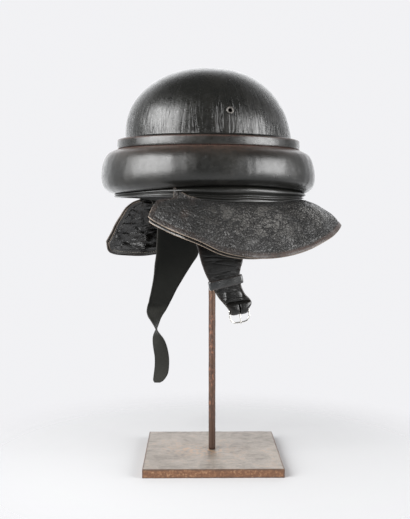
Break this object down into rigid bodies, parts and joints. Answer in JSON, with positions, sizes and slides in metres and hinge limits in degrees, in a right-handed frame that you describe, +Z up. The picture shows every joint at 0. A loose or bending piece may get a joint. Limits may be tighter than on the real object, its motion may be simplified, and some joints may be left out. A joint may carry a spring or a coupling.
{
  "type": "flight helmet on a stand",
  "caption": "Hollow padded leather flight helmet with neck flap, chin straps and wire buckle, resting on a square-plate rod stand.",
  "frame": {"origin": "centre of the stand plate's underside", "axes": "+Z up, +X towards the back of the helmet, +Y towards the wearer's right"},
  "size_m": [0.3328, 0.3112, 0.5547],
  "materials": {
    "black_leather": "satin",
    "worn_leather": "satin",
    "lining_leather": "satin",
    "blackened_metal": "satin",
    "nickel_wire": "satin",
    "bare_steel": "matte",
    "rusty_steel": "matte"
  },
  "bodies": {
    "helmet_on_stand": {"crown_shell": "black_leather", "padded_roll": "black_leather", "rolled_rim": "black_leather", "strap_keeper": "black_leather", "crown_band": "worn_leather", "neck_flap": "worn_leather", "left_strap": "worn_leather", "right_strap": "worn_leather", "inner_wall": "lining_leather", "flap_lining": "lining_leather", "left_vent": "blackened_metal", "right_vent": "blackened_metal", "crown_vent": "blackened_metal", "stand_plate": "bare_steel", "stand_rod": "rusty_steel", "stand_cap": "rusty_steel"},
    "frame": {"buckle_frame": "nickel_wire"},
    "prong": {"buckle_prong": "nickel_wire"}
  },
  "joints": [
    {"name": "frame_swing", "type": "hinge", "parent": "helmet_on_stand", "child": "frame", "pos_m": [0.03288, -0.0997, 0.2262], "axis": [-0.9541, -0.2736, -0.1219], "range_deg": [-45, 45]},
    {"name": "prong_lift", "type": "hinge", "parent": "frame", "child": "prong", "pos_m": [0.03288, -0.0997, 0.2262], "axis": [-0.9541, -0.2736, -0.1219], "range_deg": [0, 75]}
  ]
}
